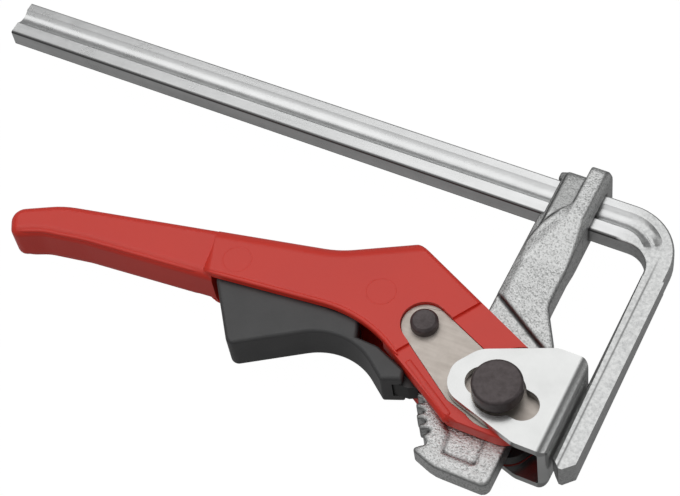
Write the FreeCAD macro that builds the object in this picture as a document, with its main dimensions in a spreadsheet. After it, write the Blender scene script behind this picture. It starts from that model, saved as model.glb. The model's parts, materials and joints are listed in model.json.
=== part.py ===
import FreeCAD, Part
import math
import os

import Sketcher

# A lever clamp for guide rails, lying on its side.
# X runs along the bar towards the fixed jaw, Y from the handle to the bar, Z is the thickness.
# The origin is on the clamping face of the fixed jaw, level with the pivot pin, in the middle plane.

SIZES = {
    # grooved bar with its forged jaw
    "BarReach": 228.0,
    "BarWidth": 13.5,
    "BarThickness": 6.5,
    "BarEdgeRadius": 0.7,
    "PinToBar": 64.8,
    "BendInnerRadius": 8.0,
    "BendOuterRadius": 17.5,
    "JawThickness": 7.0,
    "JawTipWidth": 9.6,
    "JawBelowPin": 12.6,
    "JawBevel": 1.5,
    "JawTipChamfer": 3.0,
    "GrooveLand": 3.1,
    "GrooveWidth": 6.1,
    "GrooveDepth": 1.3,
    "GrooveTurn": 68.0,
    # forged sliding arm
    "PinDistance": 20.5,
    "ArmLeft": 15.7,
    "ArmWidth": 15.9,
    "ArmThickness": 9.0,
    "ArmRight": 7.6,
    "ArmFlareTop": 34.8,
    "ArmFlareBottom": 22.0,
    "ArmFlareRadius": 7.0,
    "StepLeft": 34.0,
    "StepRight": 19.4,
    "BarClearance": 0.25,
    "FlangeRise": 3.0,
    "FlangeThickness": 12.4,
    "FlangeInset": 2.6,
    "RidgeRise": 5.6,
    "RidgeThickness": 18.0,
    "RidgeWidth": 6.6,
    "RidgeFoot": 17.0,
    "HeadCornerRadius": 2.6,
    "ArmBevel": 1.2,
    "FlankWidth": 1.5,
    "FlankDrop": 3.6,
    "PanelDepth": 0.5,
    "TailThickness": 6.5,
    "TailDepth": 25.4,
    "ToothRadius": 23.5,
    "ToothDepth": 2.5,
    "ToothPitch": 8.6,
    "FirstTooth": 191.0,
    "ToothCount": 5,
    "RackStart": 182.0,
    "RackEnd": 234.0,
    "HookRadius": 28.2,
    # pivot pin and its ring
    "PinDiameter": 9.4,
    "PinHeadDiameter": 14.8,
    "PinHeadHeight": 5.2,
    "PinPressGap": 0.01,
    "PinRunningGap": 0.06,
    "RingThickness": 1.2,
    "RingDiameter": 15.0,
    "RingSeatDiameter": 7.6,
    "RingMouth": 60.0,
    "PinEndLength": 1.6,
    # handle
    "GripEnd": 166.6,
    "GripTipLength": 15.0,
    "GripRise": 9.8,
    "GripEndRise": 1.8,
    "GripDrop": 6.7,
    "GripThickness": 14.2,
    "GripInset": 0.15,
    "GripEdgeRadius": 2.9,
    "HeadStart": 98.4,
    "HeadThickness": 18.0,
    "NoseThickness": 16.0,
    "SaddleReach": 64.5,
    "SaddleRise": 27.9,
    "PeakReach": 43.8,
    "PeakRise": 39.1,
    "PalmRadius": 5.6,
    "RimReach": 47.5,
    "RimRise": 8.9,
    "HeelReach": 10.6,
    "HeelDrop": 12.2,
    "HeadEdgeRadius": 1.8,
    "HandleWall": 2.8,
    "ChannelWidth": 13.8,
    "ChannelBackGap": 1.4,
    "ChannelEnd": 38.0,
    "ForkGap": 7.2,
    # steel side plates
    "RivetReach": 29.1,
    "RivetRise": 13.1,
    "PlateThickness": 2.0,
    "PlateFace": 15.6,
    "PlateEyeRadius": 7.0,
    "PlateUpperAngle": 23.8,
    "PlateLowerAngle": 34.9,
    "PlateHeelRadius": 10.8,
    "PlateFit": 0.1,
    "CamOffset": 7.5,
    "CamAngle": 50.0,
    "CamRadius": 12.4,
    # rivet
    "RivetDiameter": 5.0,
    "RivetHeadDiameter": 8.3,
    "RivetFaceDiameter": 6.6,
    "RivetHeadHeight": 3.1,
    # trigger, pawl, their pin and the spring
    "TriggerThickness": 13.2,
    "TriggerReach": 94.2,
    "TriggerTop": 8.4,
    "TriggerTipReach": 80.2,
    "TriggerTipDrop": 14.8,
    "FingerRadius": 19.0,
    "FingerReach": 50.2,
    "FingerRise": 4.85,
    "TriggerEdgeRadius": 1.2,
    "PawlThickness": 6.5,
    "PawlEyeRadius": 5.4,
    "PawlClearance": 0.35,
    "PawlFit": 0.05,
    "PawlPinDiameter": 2.4,
    "PawlPinCover": 1.8,
    "SpringReach": 74.0,
    "SpringDiameter": 6.4,
    "SpringWire": 0.9,
    "SpringTurns": 4.0,
    # pressure shoe
    "ShoeWidth": 21.8,
    "ShoeSheet": 2.5,
    "ShoeBendRadius": 3.4,
    "ShoeGap": 0.5,
    "ShoeRise": 19.4,
    "ShoeDrop": 13.2,
    "ShoeReach": 35.8,
    "ShoeUpperRise": 10.4,
    "ShoeLowerDrop": 7.6,
    "ShoeEndRadius": 8.4,
    "ShoeCornerRadius": 2.8,
    "SlotWidth": 9.8,
    "SlotBack": 5.4,
    "SlotFront": 8.2,
    "SlotAngle": 10.6,
    "SlotHoleDiameter": 15.6,
}


class Size:
    """A number together with the sheet expression that gives it."""

    def __init__(self, value, text=None):
        self.value = float(value)
        self.text = repr(float(value)) if text is None else text

    def __add__(self, other):
        other = as_size(other)
        return Size(self.value + other.value, f"({self.text} + {other.text})")

    def __sub__(self, other):
        other = as_size(other)
        return Size(self.value - other.value, f"({self.text} - {other.text})")

    def __mul__(self, other):
        other = as_size(other)
        return Size(self.value * other.value, f"({self.text} * {other.text})")

    def __truediv__(self, other):
        other = as_size(other)
        return Size(self.value / other.value, f"({self.text} / {other.text})")

    def __radd__(self, other):
        return as_size(other) + self

    def __rsub__(self, other):
        return as_size(other) - self

    def __rmul__(self, other):
        return as_size(other) * self

    def __neg__(self):
        return Size(-self.value, f"(0 - {self.text})")


def as_size(item):
    return item if isinstance(item, Size) else Size(item)


def cosine(angle):
    angle = as_size(angle)
    return Size(math.cos(math.radians(angle.value)), f"cos({angle.text} * 1 deg)")


def sine(angle):
    angle = as_size(angle)
    return Size(math.sin(math.radians(angle.value)), f"sin({angle.text} * 1 deg)")


def polar(centre, radius, angle):
    """The point at a radius and angle from a centre."""
    return (centre[0] + radius * cosine(angle), centre[1] + radius * sine(angle))


class SizeTable:
    """Gives each named cell of the sheet as a Size."""

    def __init__(self, sheet, sizes):
        for row, (name, number) in enumerate(sizes.items(), start=1):
            sheet.set(f"A{row}", name)
            sheet.set(f"B{row}", str(number))
            sheet.setAlias(f"B{row}", name)
            setattr(self, name, Size(number, f"Sizes.{name}"))


doc = FreeCAD.newDocument("GuideRailClamp")
sheet = doc.addObject("Spreadsheet::Sheet", "Sizes")
S = SizeTable(sheet, SIZES)
doc.recompute()

PIN = (-S.PinDistance, Size(0))
RIVET = (PIN[0] - S.RivetReach, S.RivetRise)
CAM = polar(PIN, S.CamOffset, S.CamAngle)
BAR_NEAR = S.PinToBar
BAR_FAR = S.PinToBar + S.BarWidth
CUT_MARGIN = 5


def new_body(label):
    body = doc.addObject("PartDesign::Body", label)
    body.Label = label
    return body


def new_sketch(body, name, role="XY_Plane", offset=0):
    """A sketch on one of the body's own planes, moved along that plane's normal."""
    sketch = body.newObject("Sketcher::SketchObject", f"{body.Label}_{name}")
    plane = [item for item in body.Origin.OriginFeatures if item.Role == role][0]
    sketch.AttachmentSupport = (plane, [""])
    sketch.MapMode = "FlatFace"
    sketch.setExpression("AttachmentOffset.Base.z", as_size(offset).text)
    return sketch


def hold(sketch, kind, *items):
    """Add a constraint whose last item is a Size, and tie it to the sheet."""
    size = items[-1]
    index = sketch.addConstraint(Sketcher.Constraint(kind, *items[:-1], size.value))
    sketch.setExpression(f"Constraints[{index}]", size.text)


def pin_down(sketch, geometry, end, x, y):
    """Fix a point of the sketch at x, y."""
    for kind, axis, size in (("DistanceX", -2, as_size(x)), ("DistanceY", -1, as_size(y))):
        if abs(size.value) < 1e-9:
            sketch.addConstraint(Sketcher.Constraint("PointOnObject", geometry, end, axis))
        else:
            hold(sketch, kind, -1, 1, geometry, end, size)


def circle(sketch, x, y, radius):
    centre = FreeCAD.Vector(as_size(x).value, as_size(y).value, 0)
    shape = Part.Circle(centre, FreeCAD.Vector(0, 0, 1), as_size(radius).value)
    index = sketch.addGeometry(shape, False)
    pin_down(sketch, index, 3, x, y)
    hold(sketch, "Radius", index, as_size(radius))


def outline(sketch, corners):
    """A closed outline through corners (x, y), or (x, y, radius) where the corner is round."""
    count = len(corners)
    points = [FreeCAD.Vector(as_size(c[0]).value, as_size(c[1]).value, 0) for c in corners]
    cuts = []
    turns = []
    for i, corner in enumerate(corners):
        before = (points[i] - points[i - 1]).normalize()
        after = (points[(i + 1) % count] - points[i]).normalize()
        turn = math.atan2(before.x * after.y - before.y * after.x, before.dot(after))
        radius = as_size(corner[2]).value if len(corner) > 2 else 0
        turns.append(turn)
        cuts.append(radius * math.tan(abs(turn) / 2))
    lines = []
    for i in range(count):
        along = (points[(i + 1) % count] - points[i]).normalize()
        start = points[i] + along * cuts[i]
        end = points[(i + 1) % count] - along * cuts[(i + 1) % count]
        lines.append(sketch.addGeometry(Part.LineSegment(start, end), False))
    for i, corner in enumerate(corners):
        before = lines[i - 1]
        after = lines[i]
        if len(corner) < 3:
            sketch.addConstraint(Sketcher.Constraint("Coincident", before, 2, after, 1))
            pin_down(sketch, after, 1, corner[0], corner[1])
            continue
        radius = as_size(corner[2])
        along = (points[(i + 1) % count] - points[i]).normalize()
        left = turns[i] > 0
        side = 1 if left else -1
        normal = FreeCAD.Vector(-along.y, along.x, 0) * side
        centre = points[i] + along * cuts[i] + normal * radius.value
        leave = math.atan2(-normal.y, -normal.x)
        enter = leave - turns[i]
        first, last = (enter, leave) if left else (leave, enter)
        arc = Part.ArcOfCircle(Part.Circle(centre, FreeCAD.Vector(0, 0, 1), radius.value), first, last)
        arc_index = sketch.addGeometry(arc, False)
        corner_index = sketch.addGeometry(Part.Point(points[i]), True)
        arc_in, arc_out = (1, 2) if left else (2, 1)
        sketch.addConstraint(Sketcher.Constraint("Tangent", before, 2, arc_index, arc_in))
        sketch.addConstraint(Sketcher.Constraint("Tangent", after, 1, arc_index, arc_out))
        sketch.addConstraint(Sketcher.Constraint("PointOnObject", corner_index, 1, before))
        sketch.addConstraint(Sketcher.Constraint("PointOnObject", corner_index, 1, after))
        hold(sketch, "Radius", arc_index, radius)
        pin_down(sketch, corner_index, 1, corner[0], corner[1])


def rectangle(sketch, left, bottom, right, top):
    outline(sketch, [(left, bottom), (right, bottom), (right, top), (left, top)])


def extrude(body, kind, sketch, length, side="Symmetric", reverse=False):
    feature = body.newObject(f"PartDesign::{kind}", f"{sketch.Name}_{kind}")
    feature.Profile = sketch
    feature.SideType = side
    feature.Reversed = reverse
    feature.setExpression("Length", as_size(length).text)
    return feature


def pad(body, sketch, length, side="Symmetric", reverse=False):
    return extrude(body, "Pad", sketch, length, side, reverse)


def pocket(body, sketch, length, side="Symmetric", reverse=False):
    """A cut that has to take something away."""
    doc.recompute()
    before = body.Shape.Volume
    feature = extrude(body, "Pocket", sketch, length, side, reverse)
    doc.recompute()
    if body.Shape.Volume > before - 1e-3:
        raise RuntimeError(f"{feature.Name} cuts nothing")
    return feature


def dress_edges(body, kind, name, size, choose):
    """Round or bevel the edges of the body's last shape that a test chooses."""
    doc.recompute()
    base = body.Tip
    edges = [f"Edge{i}" for i, edge in enumerate(base.Shape.Edges, start=1) if choose(edge)]
    feature = body.newObject(f"PartDesign::{kind}", f"{body.Label}_{name}")
    feature.Base = (base, edges)
    feature.Refine = False
    feature.setExpression("Radius" if kind == "Fillet" else "Size", as_size(size).text)
    doc.recompute()
    return feature


def middle(edge):
    return edge.valueAt((edge.FirstParameter + edge.LastParameter) / 2)


def flat_edge(edge, height):
    """True for an edge that lies wholly at one height above or below the middle plane."""
    box = edge.BoundBox
    above = abs(box.ZMin - height) + abs(box.ZMax - height)
    below = abs(box.ZMin + height) + abs(box.ZMax + height)
    return min(above, below) < 1e-4


def build_rail():
    """Grooved bar, bent and forged into the fixed jaw at its right end."""
    body = new_body("rail")
    left = -S.BarReach
    bend_end = BAR_NEAR - S.BendInnerRadius - 1
    bar = new_sketch(body, "BarOutline")
    outline(
        bar,
        [
            (left, BAR_NEAR),
            (0, BAR_NEAR, S.BendInnerRadius),
            (0, bend_end),
            (S.JawThickness, bend_end),
            (S.JawThickness, BAR_FAR, S.BendOuterRadius),
            (left, BAR_FAR),
        ],
    )
    pad(body, bar, S.BarThickness)
    dress_edges(body, "Fillet", "BarEdges", S.BarEdgeRadius, is_bar_edge)
    tip = -S.JawBelowPin
    forge_jaw(body, tip, bend_end)
    nose = new_sketch(body, "JawTipCut")
    slant = S.JawTipChamfer + CUT_MARGIN
    outline(
        nose,
        [
            (-CUT_MARGIN, tip + slant),
            (S.JawTipChamfer, tip),
            (S.JawThickness - S.JawTipChamfer, tip),
            (S.JawThickness + CUT_MARGIN, tip + slant),
            (S.JawThickness + CUT_MARGIN, tip - CUT_MARGIN),
            (-CUT_MARGIN, tip - CUT_MARGIN),
        ],
    )
    pocket(body, nose, 2 * S.JawTipWidth)
    cut_bar_grooves(body, left)
    return body


def forge_jaw(body, tip, root):
    """The fixed jaw: widens from the bar's thickness at its root to its tip, with bevelled inner edges."""
    root_half = S.BarThickness / 2
    tip_half = S.JawTipWidth / 2
    block = new_sketch(body, "Jaw")
    rectangle(block, Size(0), tip, S.JawThickness, root)
    pad(body, block, S.JawTipWidth)
    taper = new_sketch(body, "JawTaper", "YZ_Plane")
    low = tip - CUT_MARGIN
    low_half = tip_half + (tip_half - root_half) / (root - tip) * CUT_MARGIN
    for side in (-1, 1):
        outline(
            taper,
            [
                (root, root_half * side),
                (low, low_half * side),
                (low, S.JawTipWidth * side),
                (root, S.JawTipWidth * side),
            ],
        )
    pocket(body, taper, 4 * S.JawThickness)
    for name, side in (("Front", 1), ("Back", -1)):
        sections = []
        for part, height, half, size in (
            ("Root", root, root_half, S.JawBevel / 4),
            ("Tip", tip, tip_half, S.JawBevel),
        ):
            section = new_sketch(body, f"JawBevel{name}{part}", "XZ_Plane", -height)
            outline(
                section,
                [
                    (-size, (half - 2 * size) * side),
                    (2 * size, (half + size) * side),
                    (-size, (half + size) * side),
                ],
            )
            sections.append(section)
        bevel = body.newObject("PartDesign::SubtractiveLoft", f"rail_JawBevel{name}")
        bevel.Profile = sections[0]
        bevel.Sections = sections[1:]
        bevel.Ruled = True
        doc.recompute()


def is_bar_edge(edge):
    """The four long corners of the bar."""
    point = middle(edge)
    straight = edge.BoundBox.XLength > SIZES["BarReach"] / 2
    at_side = min(abs(point.y - BAR_NEAR.value), abs(point.y - BAR_FAR.value)) < 1e-3
    return straight and at_side


def cut_bar_grooves(body, left):
    """A shallow cove along both broad faces, carried round the bend until it runs out."""
    cove = (S.GrooveWidth * S.GrooveWidth / 4 + S.GrooveDepth * S.GrooveDepth) / (2 * S.GrooveDepth)
    centre_y = BAR_FAR - S.GrooveLand - S.GrooveWidth / 2
    centre_z = S.BarThickness / 2 + cove - S.GrooveDepth
    bend_start = S.JawThickness - S.BendOuterRadius
    straight = new_sketch(body, "Groove", "YZ_Plane", bend_start)
    round_bend = new_sketch(body, "GrooveBend", "YZ_Plane", bend_start)
    for sketch in (straight, round_bend):
        circle(sketch, centre_y, centre_z, cove)
        circle(sketch, centre_y, -centre_z, cove)
    hub = BAR_FAR - S.BendOuterRadius
    ends = [FreeCAD.Vector(hub.value, end, 0) for end in (-1, 1)]
    axis = round_bend.addGeometry(Part.LineSegment(*ends), True)
    pin_down(round_bend, axis, 1, hub, -1)
    pin_down(round_bend, axis, 2, hub, 1)
    pocket(body, straight, S.BarReach + bend_start + CUT_MARGIN, "One side")
    before = body.Shape.Volume
    turn = body.newObject("PartDesign::Groove", "rail_GrooveTurn")
    turn.Profile = round_bend
    turn.ReferenceAxis = (round_bend, ["Axis0"])
    turn.setExpression("Angle", S.GrooveTurn.text)
    turn.Reversed = True
    doc.recompute()
    if body.Shape.Volume > before - 1e-3:
        raise RuntimeError("the groove misses the bend")


def arm_window(body):
    """The window through which the bar passes."""
    window = new_sketch(body, "Window", "YZ_Plane")
    gap = S.BarClearance
    half = S.BarThickness / 2 + gap
    rectangle(window, BAR_NEAR - gap, -half, BAR_FAR + gap, half)
    pocket(body, window, 4 * S.PinDistance + 4 * S.ArmWidth)


def build_arm():
    """Forged arm: a head round the bar, a thick upper part and a flat toothed tail."""
    body = new_body("sliding_arm")
    left = PIN[0] - S.ArmLeft
    right = left + S.ArmWidth
    lower_right = PIN[0] + S.ArmRight
    flange_top = BAR_FAR + S.FlangeRise
    rack_middle = (S.RackStart + S.RackEnd) / 2
    rack_corner = polar(PIN, S.ToothRadius / cosine((S.RackEnd - S.RackStart) / 2), rack_middle)
    rack_top = polar(polar(PIN, S.ToothRadius, S.RackStart), 4, S.RackStart - 90)
    rack_foot = polar(polar(PIN, S.ToothRadius, S.RackEnd), 0.5, S.RackEnd + 90)
    slab = new_sketch(body, "Slab")
    outline(
        slab,
        [
            (left, flange_top),
            (left, rack_top[1] + 7, 3),
            rack_top,
            (rack_corner[0], rack_corner[1], S.ToothRadius),
            rack_foot,
            (*polar(PIN, S.HookRadius, S.RackEnd - 1), 0.8),
            (PIN[0] - 9, -S.TailDepth, 14),
            (lower_right, -S.TailDepth, 2.5),
            (lower_right, S.ArmFlareBottom, S.ArmFlareRadius),
            (right, S.ArmFlareTop, S.ArmFlareRadius),
            (right, flange_top),
        ],
    )
    pad(body, slab, S.TailThickness)
    upper = new_sketch(body, "UpperPart")
    outline(
        upper,
        [
            (left, flange_top),
            (left, S.StepLeft),
            (lower_right, S.StepRight),
            (lower_right, S.ArmFlareBottom, S.ArmFlareRadius),
            (right, S.ArmFlareTop, S.ArmFlareRadius),
            (right, flange_top),
        ],
    )
    pad(body, upper, S.ArmThickness)
    arm_head(body, left, right)
    bevel_arm(body, left, right)
    arm_window(body)
    panel_recess(body)
    bore = new_sketch(body, "Bore")
    circle(bore, PIN[0], PIN[1], S.PinDiameter / 2 + S.PinPressGap)
    pocket(body, bore, 2 * S.TailThickness)
    cut_rack(body)
    doc.recompute()
    return body


def arm_head(body, left, right):
    """Flange and ridge of the head, each tapering into the arm below the bar."""
    arm_half = S.ArmThickness / 2
    for name, start, rise, thickness, foot in (
        ("Flange", left + S.FlangeInset, S.FlangeRise, S.FlangeThickness, S.RidgeFoot / 2),
        ("Ridge", right - S.RidgeWidth, S.RidgeRise, S.RidgeThickness, S.RidgeFoot),
    ):
        top = BAR_FAR + rise
        half = thickness / 2
        sketch = new_sketch(body, name, "YZ_Plane", start)
        outline(
            sketch,
            [
                (top, -half, S.HeadCornerRadius),
                (top, half, S.HeadCornerRadius),
                (BAR_NEAR, half, 6),
                (BAR_NEAR - foot, arm_half),
                (BAR_NEAR - foot, -arm_half),
                (BAR_NEAR, -half, 6),
            ],
        )
        pad(body, sketch, right - start, "One side")
        doc.recompute()


def bevel_arm(body, left, right):
    """Broad bevel along the arm's left edges, and the sloped right flank of the ridge."""
    half = S.ArmThickness / 2
    ridge = S.RidgeThickness / 2
    slope = S.ArmBevel / S.FlangeInset
    bevel = [
        (left - 1, half - S.ArmBevel - slope),
        (left + S.FlangeInset, half),
        (left + S.FlangeInset, half + 1),
        (left - 1, half + 1),
    ]
    flank = [
        (right - S.FlankWidth, ridge),
        (right + S.FlankWidth, ridge - 2 * S.FlankDrop),
        (right + S.FlankWidth, ridge + S.FlankDrop),
        (right - S.FlankWidth, ridge + S.FlankDrop),
    ]
    reach = BAR_FAR + 2 * S.RidgeRise
    for name, corners, start in (
        ("Bevel", bevel, S.StepRight),
        ("Flank", flank, BAR_NEAR - S.RidgeFoot),
    ):
        sketch = new_sketch(body, name, "XZ_Plane", -start)
        for side in (-1, 1):
            outline(sketch, [(corner_x, corner_z * side) for corner_x, corner_z in corners])
        pocket(body, sketch, reach - start, "One side")


def panel_recess(body):
    """Bare sunk panel on both faces of the tail."""
    x = PIN[0]
    deep = S.TailDepth
    for name, level, reverse in (("Front", 1, True), ("Back", -1, False)):
        place = (S.TailThickness / 2 - S.PanelDepth) * level
        panel = new_sketch(body, f"Panel{name}", "XY_Plane", place)
        outline(
            panel,
            [
                (x - 0.65 * S.ToothRadius, -0.34 * deep, 0.6),
                (x - 0.41 * S.ToothRadius, -0.56 * deep, 0.8),
                (x - 0.37 * S.ToothRadius, -0.81 * deep, 0.8),
                (x + 0.09 * S.ToothRadius, -0.81 * deep, 0.8),
                (x + 0.06 * S.ToothRadius, -0.36 * deep, 0.8),
                (x - 0.34 * S.ToothRadius, -0.25 * deep, 0.8),
            ],
        )
        pocket(body, panel, S.PanelDepth * 2, "One side", reverse)


def cut_rack(body):
    """Ratchet teeth on an arc about the pin: one gap, repeated round the pin."""
    gap = body.newObject("Sketcher::SketchObject", "sliding_arm_ToothGap")
    plane = [item for item in body.Origin.OriginFeatures if item.Role == "XY_Plane"][0]
    gap.AttachmentSupport = (plane, [""])
    gap.MapMode = "FlatFace"
    gap.setExpression("AttachmentOffset.Base.x", PIN[0].text)
    centre = (Size(0), Size(0))
    rim = S.ToothRadius + 1.5
    root = S.ToothRadius - S.ToothDepth
    slope = S.FirstTooth - S.ToothPitch * 0.46
    foot = S.FirstTooth - S.ToothPitch * 0.06
    face = S.FirstTooth + S.ToothPitch * 0.26
    outline(
        gap,
        [
            polar(centre, rim, slope),
            (*polar(centre, root, foot), 0.5),
            (*polar(centre, root, face), 0.4),
            polar(centre, rim, face),
        ],
    )
    cut = pocket(body, gap, 2 * S.TailThickness)
    pattern = body.newObject("PartDesign::PolarPattern", "sliding_arm_Teeth")
    pattern.Originals = [cut]
    pattern.Axis = (gap, ["N_Axis"])
    pattern.setExpression("Angle", ((S.ToothCount - 1) * S.ToothPitch).text)
    pattern.Occurrences = int(SIZES["ToothCount"])
    body.Tip = pattern
    doc.recompute()


def revolve_about(body, name, centre, profile):
    """Turn a profile of (radius, height) corners about an upright axis through a centre."""
    sketch = body.newObject("Sketcher::SketchObject", f"{body.Label}_{name}")
    plane = [item for item in body.Origin.OriginFeatures if item.Role == "XZ_Plane"][0]
    sketch.AttachmentSupport = (plane, [""])
    sketch.MapMode = "FlatFace"
    sketch.setExpression("AttachmentOffset.Base.x", centre[0].text)
    sketch.setExpression("AttachmentOffset.Base.z", (-centre[1]).text)
    outline(sketch, profile)
    turned = body.newObject("PartDesign::Revolution", f"{body.Label}_{name}_Turned")
    turned.Profile = sketch
    turned.ReferenceAxis = (sketch, ["V_Axis"])
    turned.Angle = 360
    doc.recompute()
    return turned


def build_pin():
    """Pivot pin with a tall round head in front and a ring groove behind."""
    body = new_body("pivot_pin")
    shoe_face = S.ShoeWidth / 2 + 0.3
    shank = S.PinDiameter / 2
    head = S.PinHeadDiameter / 2
    top = shoe_face + S.PinHeadHeight
    ring_top = -shoe_face
    ring_bottom = ring_top - S.RingThickness
    end = ring_bottom - S.PinEndLength
    seat = S.RingSeatDiameter / 2
    revolve_about(
        body,
        "Profile",
        PIN,
        [
            (0, top),
            (0, end),
            (shank - 0.6, end),
            (shank, end + 0.6),
            (shank, ring_bottom),
            (seat, ring_bottom),
            (seat, ring_top),
            (shank, ring_top),
            (shank, shoe_face),
            (head, shoe_face),
            (head, top, 1.0),
        ],
    )
    return body


def build_ring():
    """Open ring that holds the pin behind the shoe."""
    body = new_body("pin_retaining_ring")
    face = -(S.ShoeWidth / 2 + 0.3)
    flat = new_sketch(body, "Ring", "XY_Plane", face - S.RingThickness)
    circle(flat, PIN[0], PIN[1], S.RingDiameter / 2)
    circle(flat, PIN[0], PIN[1], S.RingSeatDiameter / 2)
    pad(body, flat, S.RingThickness, "One side")
    mouth = new_sketch(body, "Mouth")
    reach = S.RingDiameter
    outline(
        mouth,
        [PIN, polar(PIN, reach, -90 - S.RingMouth / 2), polar(PIN, reach, -90 + S.RingMouth / 2)],
    )
    pocket(body, mouth, 4 * S.ShoeWidth)
    return body


def plate_outline_corners(grow):
    """Wedge from the rivet eye to the heel of a side plate, made larger all round by grow."""
    half_spread = (S.PlateLowerAngle - S.PlateUpperAngle) / 2
    mean = (S.PlateLowerAngle + S.PlateUpperAngle) / 2
    eye = S.PlateEyeRadius + grow
    apex = polar(RIVET, eye / sine(half_spread), 180 - mean)
    upper_length = eye / sine(half_spread) + S.RivetReach * 0.72
    lower_length = eye / sine(half_spread) + S.RivetReach * 0.84
    upper = polar(apex, upper_length, -S.PlateUpperAngle)
    lower = polar(apex, lower_length, -S.PlateLowerAngle)
    heel = S.PlateHeelRadius + grow
    return [
        (apex[0], apex[1], eye),
        (*lower, 3),
        (PIN[0], -heel),
        (PIN[0] + 4, PIN[1]),
        upper,
    ]


def plate_levels():
    outside = S.PlateFace / 2
    return outside, outside - S.PlateThickness


def build_side_plate(label, front):
    """Steel plate: rivet eye at one end, pin bore and pressing cam at the other."""
    body = new_body(label)
    outside, inside = plate_levels()
    level = inside if front else -outside
    for name, draw in (
        ("Link", lambda s: outline(s, plate_outline_corners(Size(0)))),
        ("Heel", lambda s: circle(s, PIN[0], PIN[1], S.PlateHeelRadius)),
        ("Cam", lambda s: circle(s, CAM[0], CAM[1], S.CamRadius)),
    ):
        sketch = new_sketch(body, name, "XY_Plane", level)
        draw(sketch)
        pad(body, sketch, S.PlateThickness, "One side")
        doc.recompute()
    holes = new_sketch(body, "Holes")
    circle(holes, PIN[0], PIN[1], S.PinDiameter / 2 + S.PinRunningGap)
    circle(holes, RIVET[0], RIVET[1], S.RivetDiameter / 2)
    pocket(body, holes, 2 * S.ShoeWidth)
    return body


def head_top_line(reach):
    """Height of the handle's upper edge at a distance left of the pin, left of the saddle."""
    length = S.GripEnd - S.GripTipLength - S.SaddleReach
    slope = (S.SaddleRise - S.GripRise) / length
    return S.SaddleRise - slope * (reach - S.SaddleReach)


def build_handle():
    """Moulded handle: a head open below for the trigger, a fork round the arm and a slim grip."""
    body = new_body("handle")
    x = PIN[0]
    add_grip(body)
    nose = S.CamRadius - 0.6
    head = new_sketch(body, "Head")
    outline(
        head,
        [
            (x - S.HeadStart, head_top_line(S.HeadStart)),
            (x - S.SaddleReach, S.SaddleRise, 30),
            (x - S.PeakReach, S.PeakRise),
            (CAM[0] - 3, CAM[1] + nose, 6),
            (CAM[0] + nose, CAM[1] + nose, nose - 0.6),
            (CAM[0] + nose, CAM[1] - 3, 4),
            (x + 9, -S.HeelDrop, 8),
            (x - S.HeelReach, -S.HeelDrop, 4),
            (x - S.RimReach, S.RimRise, 40),
            (x - S.HeadStart, 3.4),
        ],
    )
    pad(body, head, S.HeadThickness)
    peak = (x - S.PeakReach).value
    on_palm = lambda point: point.x < peak and point.y > S.GripRise.value
    round_broad_edges(body, "PalmEdges", S.HeadThickness, S.PalmRadius, on_palm)
    off_palm = lambda point: not on_palm(point)
    round_broad_edges(body, "HeadEdges", S.HeadThickness, S.HeadEdgeRadius, off_palm)
    lower_nose(body)
    hollow_handle(body)
    seat_plates(body)
    holes = new_sketch(body, "Holes")
    circle(holes, PIN[0], PIN[1], S.PinDiameter / 2 + S.PinRunningGap)
    circle(holes, RIVET[0], RIVET[1], S.RivetDiameter / 2)
    pocket(body, holes, 2 * S.ShoeWidth)
    return body


def add_grip(body):
    """The slim grip, set in a little from the head's upper and lower edges."""
    x = PIN[0]
    end = x - S.GripEnd
    joint = x - S.HeadStart + 4
    grip = new_sketch(body, "Grip")
    outline(
        grip,
        [
            (end, S.GripEndRise, 4.5),
            (end + S.GripTipLength, S.GripRise - S.GripInset, 30),
            (joint, head_top_line(S.HeadStart - 4) - S.GripInset),
            (joint, 3.5),
            (end + 28, -0.2, 30),
            (end + 14, -2.6, 14),
            (end + 5, -S.GripDrop, 3),
        ],
    )
    pad(body, grip, S.GripThickness)
    on_grip = lambda point: point.x < joint.value - 1
    round_broad_edges(body, "GripEdges", S.GripThickness, S.GripEdgeRadius, on_grip)


def lower_nose(body):
    """Both faces of the fork lie a step lower than the head, to pass inside the shoe."""
    x = PIN[0]
    level = S.NoseThickness / 2
    low = (x - 31.7 - 6.4, Size(3.3 - 10))
    high = (x - 17.0 + 6.4, Size(26.3 + 10))
    for name, start, reverse in (("FrontStep", level, True), ("BackStep", -level, False)):
        step = new_sketch(body, name, "XY_Plane", start)
        outline(step, [low, (S.CamRadius, low[1] - S.HeelDrop), (S.CamRadius, high[1]), high])
        pocket(body, step, S.HeadThickness, "One side", reverse)


def round_broad_edges(body, name, thickness, radius, choose_point):
    """Round the edges of both broad faces where a test on their middle point allows it."""
    dress_edges(
        body,
        "Fillet",
        name,
        radius,
        lambda edge: flat_edge(edge, thickness.value / 2) and choose_point(middle(edge)),
    )


def hollow_handle(body):
    """Channel for the trigger, and the narrower slot between the two fork cheeks."""
    x = PIN[0]
    wall = S.HandleWall
    reach_back = S.TriggerReach + S.ChannelBackGap
    start = x - reach_back
    end = x - S.ChannelEnd
    channel = new_sketch(body, "Channel")
    outline(
        channel,
        [
            (start, -CUT_MARGIN),
            (end, -CUT_MARGIN),
            (end, S.SaddleRise + 6),
            (x - S.SaddleReach, S.SaddleRise - wall, 30),
            (start, head_top_line(reach_back) - wall, 3),
        ],
    )
    pocket(body, channel, S.ChannelWidth)
    reach = S.ArmLeft + 0.7
    fork = new_sketch(body, "Fork")
    outline(
        fork,
        [
            (end - 2, -S.HeelDrop - CUT_MARGIN),
            (x + 2 * S.CamRadius, -S.HeelDrop - CUT_MARGIN),
            (x + 2 * S.CamRadius, S.PeakRise + CUT_MARGIN),
            (x - reach, S.PeakRise + CUT_MARGIN),
            (x - reach, S.RivetRise + 9, 4),
            (end - 2, S.RivetRise + 9),
        ],
    )
    pocket(body, fork, S.ForkGap)


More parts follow.
